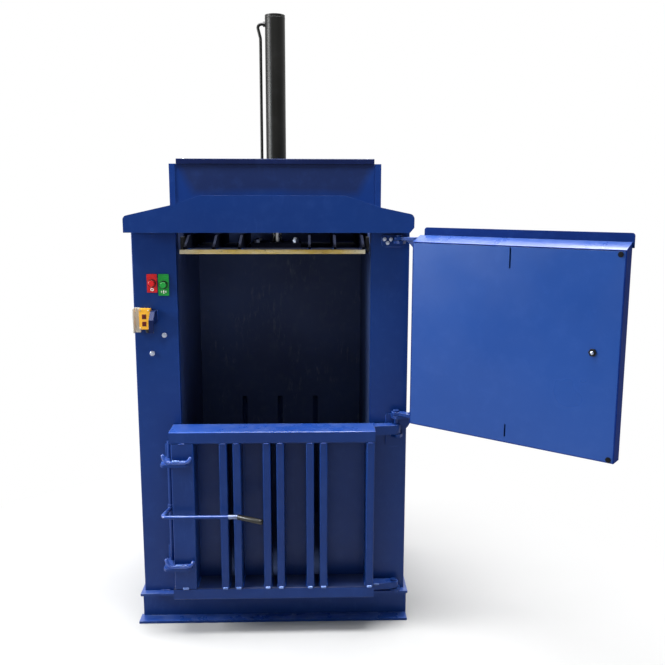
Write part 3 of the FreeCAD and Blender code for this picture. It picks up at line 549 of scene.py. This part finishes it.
def rounded_path(points, steps=6):
    """Smooth curve through points, which keeps to them."""
    ends = [points[0] * 2 - points[1]] + points + [points[-1] * 2 - points[-2]]
    path = []
    for k in range(1, len(ends) - 2):
        before, start, end, after = ends[k - 1:k + 3]
        for step in range(steps):
            share = step / steps
            bend = (2 * before - 5 * start + 4 * end - after) * share ** 2
            twist = (3 * start - before - 3 * end + after) * share ** 3
            path.append(0.5 * (2 * start + (end - before) * share + bend + twist))
    path.append(points[-1])
    return path


def rod(mesh, points, radius, segments=12):
    """Round bar bent smoothly through points, with domed ends."""
    path = rounded_path([Vector(point) for point in points])
    first_way = (path[0] - path[1]).normalized()
    last_way = (path[-1] - path[-2]).normalized()
    dome = [(0.5, 0.55), (0.3, 0.82)]
    stops = [(path[0] + first_way * radius * reach, scale) for reach, scale in dome]
    stops += [(point, 1.0) for point in path]
    stops += [(path[-1] + last_way * radius * reach, scale) for reach, scale in reversed(dome)]
    side = None
    rings = []
    for k, (point, scale) in enumerate(stops):
        way = (stops[min(k + 1, len(stops) - 1)][0] - stops[max(k - 1, 0)][0]).normalized()
        side = (side - way * side.dot(way)).normalized() if side else frame_of(way)[1]
        rings.append(ring(mesh, point, side, way.cross(side), radius * scale, segments))
    skin(mesh, rings)


def louvre(mesh, middle, width, drop, depth):
    """One pressed hood: closed at its top and ends, open below, bulging towards +Y."""
    across, down = 14, 6
    grid = []
    for i in range(across + 1):
        x = -1 + 2 * i / across
        swell = max(0.0, 1 - abs(x) ** 6) ** 0.5
        column = []
        for j in range(down + 1):
            turn = j / down * math.pi / 2
            place = Vector((x * width / 2, depth * math.sin(turn) * swell, drop * (math.cos(turn) - 0.5)))
            column.append(mesh.verts.new(Vector(middle) + place))
        grid.append(column)
    for i in range(across):
        for j in range(down):
            mesh.faces.new((grid[i][j], grid[i + 1][j], grid[i + 1][j + 1], grid[i][j + 1]))


def block(mesh, low, high):
    """Box with its edges broken."""
    made = bmesh.ops.create_cube(mesh, size=1.0)["verts"]
    for vert in made:
        vert.co = Vector([low[k] + (high[k] - low[k]) * (vert.co[k] + 0.5) for k in range(3)])
    edges = {edge for vert in made for edge in vert.link_edges}
    thinnest = min(high[k] - low[k] for k in range(3))
    bmesh.ops.bevel(mesh, geom=list(edges), offset=thinnest * 0.18, segments=2, affect="EDGES", profile=0.5)


def screw(mesh, at, axis, radius):
    """Domed screw head with a round drive recess."""
    profile = [(0, 0), (1, 0), (1, 0.25), (0.82, 0.62), (0.52, 0.80), (0.42, 0.80), (0.38, 0.30), (0, 0.26)]
    lathe(mesh, [(out * radius, up * radius) for out, up in profile], at, axis, 20)


# ---- welds ---------------------------------------------------------------------------------------
def make_gate_welds():
    """Runs between the rails, ribs and stiles of the bale door, and along its bearings and arms; the pale
    beads at the rib feet and on the bearings are painted glints.
    """
    mesh = bmesh.new()
    # pale beads in this mesh are painted glints
    glints = bmesh.new()
    lower, upper = sorted(solids("gate_rails"), key=lambda pair: pair[0].z)
    front, floor_z, roof_z = lower[0].y, lower[1].z, upper[0].z
    back = -20 * MM
    widest = 34 * MM
    for low, high in solids("gate_ribs") + solids("gate_stiles"):
        for x in (low.x - MM, high.x + MM):
            for z in (floor_z + MM, roof_z - MM):
                bead(mesh, (x, front + 12 * MM, z), (x, back, z))
        middle = (low.x + high.x) / 2
        half = min(high.x - low.x, widest) / 2 - 5 * MM
        y, z = front - 0.5 * MM, floor_z + 1.5 * MM
        bead(glints, (middle - half, y, z), (middle + half, y, z), 5.5 * MM)
        bead(mesh, (middle - half, front, roof_z), (middle + half, front, roof_z), 2.4 * MM)
    for low, high in solids("lock_bearings"):
        y, z = front - MM, high.z + MM
        bead(mesh, (low.x + 42 * MM, y, z), (high.x - 3 * MM, y, z), 7 * MM)
        y = low.y + 6 * MM
        bead(glints, (low.x + 74 * MM, y, high.z), (low.x + 48 * MM, y, high.z), 5.5 * MM)
    for low, high in solids("gate_arms"):
        x = low.x + 2 * MM
        bead(mesh, (x, low.y + 3 * MM, high.z), (x, high.y - 3 * MM, high.z))
        bead(mesh, (x, low.y, low.z + 3 * MM), (x, low.y, high.z - 3 * MM))
    piece("gate_welds", mesh, "weld", "bale_door")
    piece("gate_weld_painted_glints", glints, "weld_painted_glint", "bale_door")


STRAP_RADIUS = 7 * MM
# the strap's middle line in millimetres: right of, behind and above the bearing's front left corner
STRAP_LINE = [(10, 12, 28), (16, 9, 12), (32, 6.5, 0), (64, 5.5, 0), (94, 6.5, 0), (108, 9, 6), (115, 14, 16)]


def make_bearing_straps():
    """Bent round bars that hold the lock bearings to the left stile; their ends turn up. Pale beads on them
    and on the first arm are painted glints.
    """
    mesh = bmesh.new()
    # pale beads on the straps and the first arm: painted glints
    spots = bmesh.new()
    for low, high in solids("lock_bearings"):
        corner = Vector((low.x, low.y, high.z + STRAP_RADIUS - MM))
        rod(mesh, [corner + Vector(point) * MM for point in STRAP_LINE], STRAP_RADIUS)
        bead(spots, corner + Vector((46, 4, 5.5)) * MM, corner + Vector((74, 4, 5.5)) * MM, 5.0 * MM)
        bead(spots, corner + Vector((80, 5.5, 6)) * MM, corner + Vector((90, 6, 6)) * MM, 3.0 * MM)
    low, high = solids("gate_arms")[0]
    y = low.y + 2 * MM
    bead(spots, (low.x + 5 * MM, y, high.z), (low.x + 27 * MM, y, high.z), 4.0 * MM)
    # straps: lighter rubbed blue, partly painted highlight
    piece("bearing_straps", mesh, "rubbed_and_top_lit", "bale_door")
    piece("bearing_weld_painted_glints", spots, "weld_painted_glint", "bale_door")


def weld_casing(mesh, node, outer_side):
    """Seams of one column: its front and outer side on the base, its front under the crossbeam."""
    low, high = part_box(node)
    foot, head = low.z + MM, high.z - MM
    stitches(mesh, (low.x + 10 * MM, -0.5 * MM, foot), (high.x - 10 * MM, -0.5 * MM, foot))
    stitches(mesh, (outer_side, 40 * MM, foot), (outer_side, high.y - 40 * MM, foot))
    stitches(mesh, (low.x + 12 * MM, -1.5 * MM, head), (high.x - 12 * MM, -1.5 * MM, head), run=28 * MM)


def make_frame_welds():
    """Seams of the columns, brackets, strap channels, keepers and beams."""
    mesh = bmesh.new()
    fine = 2.6 * MM
    left_column, right_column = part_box("left_casing"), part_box("right_casing")
    weld_casing(mesh, "left_casing", left_column[0].x)
    weld_casing(mesh, "right_casing", right_column[1].x)
    for low, high in solids("hinge_brackets"):
        end = min(high.x, right_column[1].x - 25 * MM)
        bead(mesh, (low.x + 8 * MM, -4 * MM, low.z), (end - 8 * MM, -4 * MM, low.z), fine)
        bead(mesh, (low.x, -4 * MM, low.z + 6 * MM), (low.x, -4 * MM, high.z - 6 * MM), fine)
    for low, high in solids("strap_channels"):
        y = low.y + MM
        for x in (low.x, high.x):
            stitches(mesh, (x, y, low.z + 20 * MM), (x, y, high.z - 20 * MM), pitch=120 * MM)
    for low, high in solids("lock_keepers"):
        z = low.z + 12 * MM
        bead(mesh, (low.x + 4 * MM, -MM, z), (low.x + 40 * MM, -MM, z), fine)
    low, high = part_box("door_keeper")
    for x in (low.x, high.x):
        bead(mesh, (x, -MM, low.z + 36 * MM), (x, -MM, high.z - 2 * MM), 2.4 * MM)
    low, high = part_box("front_crossbeam")
    y, z = low.y + 10.5 * MM, low.z + 10 * MM
    stitches(mesh, (left_column[1].x + 32 * MM, y, z), (right_column[0].x - 33 * MM, y, z))
    for low, high in solids("cylinder_beams"):
        for x in (low.x + 3 * MM, high.x - 3 * MM):
            bead(mesh, (x, low.y, low.z), (x, high.y, low.z), fine)
    piece("frame_welds", mesh, "weld", "frame")


def make_platen_welds():
    """Runs on both sides of the ribs on the platen."""
    mesh = bmesh.new()
    for low, high in solids("platen_ribs"):
        for x in (low.x, high.x):
            start, end = (x, low.y + 12 * MM, low.z), (x, high.y - 12 * MM, low.z)
            stitches(mesh, start, end, run=50 * MM, pitch=130 * MM)
    piece("platen_welds", mesh, "weld", "ram")


# ---- small parts ---------------------------------------------------------------------------------
def make_fasteners():
    """Washers and caps of the column bolts, and the screws of the switch and the covers."""
    mesh = bmesh.new()
    washer_to_head = 1.16
    for low, high in solids("column_bolts"):
        middle = (low + high) / 2
        radius = (high.z - low.z) / 2 * washer_to_head
        washer = [(0, 0), (radius, 0), (radius, 1.2 * MM), (radius - 0.5 * MM, 1.6 * MM), (0, 1.6 * MM)]
        lathe(mesh, washer, (middle.x, high.y, middle.z), (0, -1, 0))
        cap = in_mm([(0, 0), (3.6, 0), (3.6, 1.4), (2.8, 2.0), (0, 2.0)])
        lathe(mesh, cap, (middle.x, low.y, middle.z), (0, -1, 0), 20)
    low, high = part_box("interlock_switch")
    for x in (low.x + 5 * MM, high.x - 5 * MM):
        for z in (low.z + 5 * MM, high.z - 5 * MM):
            screw(mesh, (x, low.y, z), (0, -1, 0), 2.2 * MM)
    low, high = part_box("housing_rear_cover")
    flange = 4 * MM
    for x, lift in ((low.x + 12 * MM, flange), ((low.x + high.x) / 2, 0), (high.x - 12 * MM, flange)):
        for z in (low.z + 14 * MM, high.z - 14 * MM):
            screw(mesh, (x, high.y + lift, z), (0, 1, 0), 4.5 * MM)
    low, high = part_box("housing_top_plate")
    for x in (low.x + 25 * MM, high.x - 25 * MM):
        for y in (low.y + 30 * MM, high.y - 30 * MM):
            screw(mesh, (x, y, high.z), (0, 0, 1), 4.5 * MM)
    piece("small_fasteners", mesh, "zinc", "frame")


def make_louvres():
    """Two banks of pressed louvres in the rear cover of the power pack, with a black sheet under each that
    paints the shade of its opening.
    """
    low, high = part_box("housing_rear_cover")
    mesh = bmesh.new()
    shade_sheets = bmesh.new()
    rows, pitch, lowest, inset = 6, 20 * MM, 45 * MM, 220 * MM
    shade_half = 69 * MM
    for x in (low.x + inset, high.x - inset):
        for row in range(rows):
            z = low.z + lowest + row * pitch
            louvre(mesh, (x, high.y - 0.3 * MM, z), width=150 * MM, drop=11 * MM, depth=6.5 * MM)
            # black sheet under the hood: painted shade of the opening
            block(shade_sheets, (x - shade_half, high.y - 0.6 * MM, z - 9 * MM),
                  (x + shade_half, high.y + 0.5 * MM, z - 5.4 * MM))
    hoods = piece("rear_louvres", mesh, "blue", "frame")
    sheet = hoods.modifiers.new("sheet", "SOLIDIFY")
    sheet.thickness = 0.8 * MM
    piece("rear_louvre_painted_shade", shade_sheets, "black", "frame", smooth=False)


def make_button_marks():
    """Generic signs on the plates: a ring under the red button, three bars under the green one."""
    mesh = bmesh.new()
    red_plate, green_plate = solids("button_plates")
    low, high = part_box("red_button")
    section = in_mm([(3.4, -0.2), (6.2, -0.2), (6.2, 0.4), (3.4, 0.4), (3.4, -0.2)])
    lathe(mesh, section, ((low.x + high.x) / 2, red_plate[0].y, (red_plate[0].z + low.z) / 2), (0, -1, 0))
    low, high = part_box("green_button")
    face, z = green_plate[0].y, (green_plate[0].z + low.z) / 2
    for shift, half_width, half_height in ((0, 1.8, 7), (-8, 1.2, 4), (8, 1.2, 4)):
        x = (low.x + high.x) / 2 + shift * MM
        block(mesh, (x - half_width * MM, face - 0.4 * MM, z - half_height * MM),
              (x + half_width * MM, face + 0.3 * MM, z + half_height * MM))
    piece("button_marks", mesh, "white", "frame")


def make_button_collars():
    """Black retaining rings round the two push buttons."""
    mesh = bmesh.new()
    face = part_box("button_plates")[0].y
    section = in_mm([(12.6, 0), (15.4, 0), (15.4, 2.2), (14.6, 3.0), (13.2, 3.0), (12.6, 2.4), (12.6, 0)])
    for name in ("red_button", "green_button"):
        low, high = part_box(name)
        place = ((low.x + high.x) / 2, face, (low.z + high.z) / 2)
        lathe(mesh, section, place, (0, -1, 0), 48)
    piece("button_collars", mesh, "black_plastic", "frame")


def door_normal():
    """Direction that the inner face of the open loading door looks in."""
    total = Vector((0, 0, 0))
    for face in nodes["loading_door_panel"].data.polygons:
        if face.normal.y < -0.3:
            total += face.normal * face.area
    return total.normalized()


def make_spindle_end():
    """Bright domed end of the handle spindle in its nut, with a dark washer under the nut."""
    low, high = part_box("spindle_nut")
    middle = (low + high) / 2
    outward = door_normal()
    dome = in_mm([(0, 0), (6.4, 0), (6.4, 2.2), (5.4, 4.4), (3.2, 5.6), (0, 6.0)])
    mesh = bmesh.new()
    lathe(mesh, dome, middle + outward * 4 * MM, outward, 28)
    piece("spindle_end", mesh, "zinc", "door_handle")
    washer = in_mm([(0, 0), (17, 0), (17, 1.4), (16, 2.0), (0, 2.0)])
    mesh = bmesh.new()
    lathe(mesh, washer, middle - outward * 6.5 * MM, outward, 36)
    piece("spindle_washer", mesh, "black", "door_handle")


def make_switch_details():
    """Key inserts in the two recesses and the gland under the interlock switch."""
    low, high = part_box("interlock_switch")
    mesh = bmesh.new()
    for z in (low.z + 49 * MM, low.z + 21 * MM):
        block(mesh, (low.x + 11 * MM, low.y - 0.8 * MM, z - 9 * MM),
              (low.x + 27 * MM, low.y + 3.4 * MM, z + 9 * MM))
    piece("switch_inserts", mesh, "key", "frame")
    mesh = bmesh.new()
    gland = in_mm([(0, 0), (9, 0), (9, 5), (7, 6), (7, 13), (5, 15), (0, 15)])
    lathe(mesh, gland, (high.x - 14 * MM, (low.y + high.y) / 2, low.z), (0, 0, -1), 24)
    piece("switch_gland", mesh, "black_plastic", "frame")


def make_cylinder_seam():
    """Rolled seam under the end cap of the cylinder."""
    low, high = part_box("cylinder_barrel")
    middle = (low + high) / 2
    radius = (high.y - low.y) / 2
    roll = in_mm([(-0.5, -1.6), (0.5, -1.0), (0.8, 0), (0.5, 1.0), (-0.5, 1.6), (-0.5, -1.6)])
    section = [(radius + out, up) for out, up in roll]
    mesh = bmesh.new()
    lathe(mesh, section, (middle.x, middle.y, high.z - 12 * MM), (0, 0, 1), 72)
    piece("cylinder_seam", mesh, "black", "frame")


make_gate_welds()
make_bearing_straps()
make_frame_welds()
make_platen_welds()
make_fasteners()
make_louvres()
make_button_marks()
make_button_collars()
make_spindle_end()
make_switch_details()
make_cylinder_seam()

# ---- floor and light -----------------------------------------------------------------------------
GREY_IN_FRONT = 0.30
WHITE_BEHIND = 1.0
# how far a direction points to the back, where the grey ends and where the white begins
GREY_ENDS, WHITE_BEGINS = -0.70, 0.76
WHITE = (1, 1, 1)
SKY = (0.66, 0.92, 1.0)
# name, place, aimed at, size in metres, power in watts, tint
LIGHTS = [
    ("key", (-4.4, -0.7, 2.7), (0.6, -0.2, 1.1), (1.6, 1.8), 262, WHITE),
    ("sheen", (-4.3, -2.0, 2.2), (0.6, -0.2, 1.3), (0.9, 0.9), 26, SKY),
    ("top", (0.2, 1.2, 4.9), (0.2, 0.9, 0.0), (4.4, 3.0), 240, WHITE),
    ("edge", (0.1, -0.55, 4.6), (0.1, -0.5, 0.0), (3.6, 0.8), 270, WHITE),
    ("fill", (0.3, -5.2, 3.6), (0.1, 0.2, 0.9), (2.4, 1.4), 8, WHITE),
]


def surround(tree, toward_back):
    """Brightness of the studio by direction: white behind the object, grey in front of it."""
    shade = tree.nodes.new("ShaderNodeMapRange")
    shade.interpolation_type = "SMOOTHSTEP"
    shade.inputs["From Min"].default_value = GREY_ENDS
    shade.inputs["From Max"].default_value = WHITE_BEGINS
    shade.inputs["To Min"].default_value = GREY_IN_FRONT
    shade.inputs["To Max"].default_value = WHITE_BEHIND
    tree.links.new(toward_back, shade.inputs["Value"])
    return shade.outputs["Result"]


def make_floor():
    """Pale floor that turns into white light round the object, and into the surround far away."""
    bpy.ops.mesh.primitive_plane_add(size=80, location=(0, 0, -0.5 * MM))
    floor = bpy.context.object
    floor.name = "floor"
    look = Shader("floor")
    tone = look.mix(look.ramp(look.noise(0.8, 3.0), 0.3, 0.7), colour(176, 176, 176), colour(183, 183, 183))
    look.feed(look.surface.inputs["Base Color"], tone)
    look.set(Roughness=0.9, Specular_IOR_Level=0.1)
    away = look.add("ShaderNodeVectorMath", operation="LENGTH")
    look.feed(away.inputs[0], look.coordinates)
    distance = away.outputs["Value"]
    far = look.ramp(distance, 3.0, 7.0)
    side = surround(look.tree, look.math("DIVIDE", look.along("Y"), distance))
    darker = look.math("MULTIPLY", far, look.math("SUBTRACT", 1.0, side))
    glow = look.add("ShaderNodeEmission")
    look.feed(glow.inputs["Strength"], look.math("SUBTRACT", 1.0, darker))
    blend = look.add("ShaderNodeMixShader")
    look.feed(blend.inputs[0], look.ramp(distance, 0.6, 2.0))
    look.feed(blend.inputs[1], look.surface.outputs["BSDF"])
    look.feed(blend.inputs[2], glow.outputs["Emission"])
    look.feed(look.tree.nodes["Material Output"].inputs["Surface"], blend.outputs["Shader"])
    floor.data.materials.append(look.material)


def make_world():
    world = bpy.data.worlds.new("studio")
    bpy.context.scene.world = world
    world.use_nodes = True
    tree = world.node_tree
    split = tree.nodes.new("ShaderNodeSeparateXYZ")
    tree.links.new(tree.nodes.new("ShaderNodeTexCoord").outputs["Generated"], split.inputs["Vector"])
    background = tree.nodes["Background"]
    background.inputs["Color"].default_value = (1, 1, 1, 1)
    tree.links.new(surround(tree, split.outputs["Y"]), background.inputs["Strength"])


def area_light(name, at, target, size, power, tint):
    data = bpy.data.lights.new(name, "AREA")
    data.shape = "RECTANGLE"
    data.size, data.size_y = size
    data.energy = power
    data.color = tint
    light = bpy.data.objects.new(name, data)
    light.location = at
    light.rotation_euler = (Vector(target) - Vector(at)).to_track_quat("-Z", "Y").to_euler()
    bpy.context.scene.collection.objects.link(light)


bpy.context.scene.view_settings.view_transform = "Standard"
make_floor()
make_world()
for light_settings in LIGHTS:
    area_light(*light_settings)
